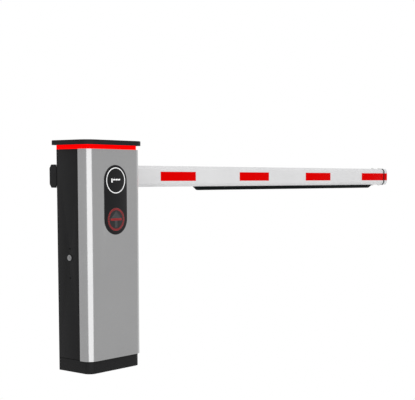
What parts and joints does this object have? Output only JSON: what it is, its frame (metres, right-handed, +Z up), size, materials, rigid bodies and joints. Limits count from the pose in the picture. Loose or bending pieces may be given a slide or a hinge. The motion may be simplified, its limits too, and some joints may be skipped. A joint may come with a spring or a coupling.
{
  "type": "parking barrier gate",
  "caption": "Parking barrier gate: black cabinet with silver front shell, display and light band, and an octagonal boom with red tapes that lifts upright.",
  "frame": {"origin": "centre of the cabinet's anchor bolt pattern, on the floor", "axes": "+X along the closed boom from the cabinet to the tip, -Y out of the cabinet's front with the display, +Z up"},
  "size_m": [2.8675, 0.3185, 0.99],
  "materials": {
    "black_coat": "fine textured matt black powder coat",
    "silver_coat": "satin metallic silver powder coat",
    "red_lens": "translucent glowing red light band",
    "panel_black": "glossy black display panel",
    "status_white": "white lit ring",
    "sign_dark": "dark smoked lens",
    "lamp_red": "dim red lamps",
    "lamp_off": "unlit grey lamps",
    "board_green": "green circuit board with solder mask",
    "zinc_steel": "zinc plated steel",
    "machined_steel": "turned and ground steel",
    "cast_grey": "grey cast iron, painted",
    "gear_paint": "blue-grey machine paint",
    "motor_paint": "dark grey ribbed motor frame",
    "lock_silver": "satin chromed zinc",
    "spring_steel": "oiled spring steel",
    "brass_wheel": "bronze worm wheel",
    "black_rubber": "matt black rubber",
    "boom_white": "white powder coated aluminium",
    "cap_white": "white moulded plastic",
    "cap_black": "black moulded plastic",
    "tape_red": "red retroreflective sheeting",
    "control_grey": "light grey moulded plastic",
    "toggle_blue": "blue moulded plastic",
    "hand_red": "red moulded handwheel"
  },
  "bodies": {
    "cabinet": {"base_plate": "zinc_steel", "plinth": "black_coat", "inner_frame": "black_coat", "rear_panel": "black_coat", "right_panel": "black_coat", "front_shell": "silver_coat", "light_band": "red_lens", "lid": "black_coat", "lid_screws": "zinc_steel", "display_panel": "panel_black", "led_board": "board_green", "status_ring": "status_white", "sign_disc": "sign_dark", "red_leds": "lamp_red", "arrow_leds": "lamp_off", "hinge_pins": "zinc_steel", "chassis_plate": "zinc_steel", "bearing_housing": "cast_grey", "bearings": "machined_steel", "limit_sensors": "brass_wheel", "shaft_seal": "black_rubber", "stop_pin": "machined_steel", "stop_sleeve": "black_rubber", "gearbox_housing": "gear_paint", "gearbox_cover": "gear_paint", "motor_body": "motor_paint", "motor_cap": "cap_black", "spring_anchor": "black_coat", "eye_bolts": "zinc_steel", "mechanism_bolts": "zinc_steel", "control_box": "control_grey", "control_cover": "control_grey", "breaker": "control_grey"},
    "door": {"side_door": "black_coat", "door_rivets": "cap_black", "lock_body": "lock_silver"},
    "lock": {"lock_core": "lock_silver", "lock_cam": "zinc_steel"},
    "boom": {"main_shaft": "machined_steel", "main_lever": "cast_grey", "lever_pins": "machined_steel", "limit_cams": "machined_steel", "boom_holder": "black_coat", "clamp_plate": "black_coat", "clamp_bolts": "zinc_steel", "boom_tube": "boom_white", "root_cap": "cap_black", "tip_cap": "cap_white", "tip_gasket": "black_rubber", "tip_screws": "zinc_steel", "bumper_strip": "black_rubber", "reflective_tapes": "tape_red"},
    "crank": {"output_shaft": "machined_steel", "worm_wheel": "brass_wheel", "crank_arm": "cast_grey"},
    "link": {"link_rod": "zinc_steel"},
    "rotor": {"rotor_shaft": "machined_steel", "handwheel": "hand_red"},
    "springs": {"balance_springs": "spring_steel"},
    "toggle": {"breaker_toggle": "toggle_blue"}
  },
  "joints": [
    {"name": "boom_lift", "type": "hinge", "parent": "cabinet", "child": "boom", "pos_m": [0, 0.1, 0.838], "axis": [0, -1, 0], "range_deg": [0, 90], "deforming": ["balance_springs"]},
    {"name": "crank_turn", "type": "hinge", "parent": "cabinet", "child": "crank", "pos_m": [0.04, 0, 0.56], "axis": [0, -1, 0], "range_deg": [0, 90]},
    {"name": "link_swing", "type": "hinge", "parent": "crank", "child": "link", "pos_m": [0.08243, -0.0375, 0.51757], "axis": [0, -1, 0], "range_deg": [-90, 0]},
    {"name": "rotor_spin", "type": "hinge", "parent": "cabinet", "child": "rotor", "pos_m": [0.0925, 0.045, 0.56], "axis": [0, 0, 1], "range_deg": [0, 2700]},
    {"name": "spring_tilt", "type": "hinge", "parent": "cabinet", "child": "springs", "pos_m": [-0.055, -0.02, 0.262], "axis": [0, -1, 0], "range_deg": [-2.9, 0]},
    {"name": "door_swing", "type": "hinge", "parent": "cabinet", "child": "door", "pos_m": [-0.1475, 0.0875, 0.5], "axis": [0, 0, -1], "range_deg": [0, 100]},
    {"name": "lock_turn", "type": "hinge", "parent": "door", "child": "lock", "pos_m": [-0.153, 0.019, 0.491], "axis": [-1, 0, 0], "range_deg": [0, 90]},
    {"name": "switch_flip", "type": "hinge", "parent": "cabinet", "child": "toggle", "pos_m": [-0.087, 0.0465, 0.13], "axis": [-1, 0, 0], "range_deg": [0, 40]}
  ],
  "couplings": [
    {"joint": "crank_turn", "follows": "boom_lift", "ratio": 1},
    {"joint": "link_swing", "follows": "boom_lift", "ratio": -1},
    {"joint": "rotor_spin", "follows": "boom_lift", "ratio": 30},
    {"joint": "spring_tilt", "follows": "boom_lift", "ratio": -0.0321}
  ]
}
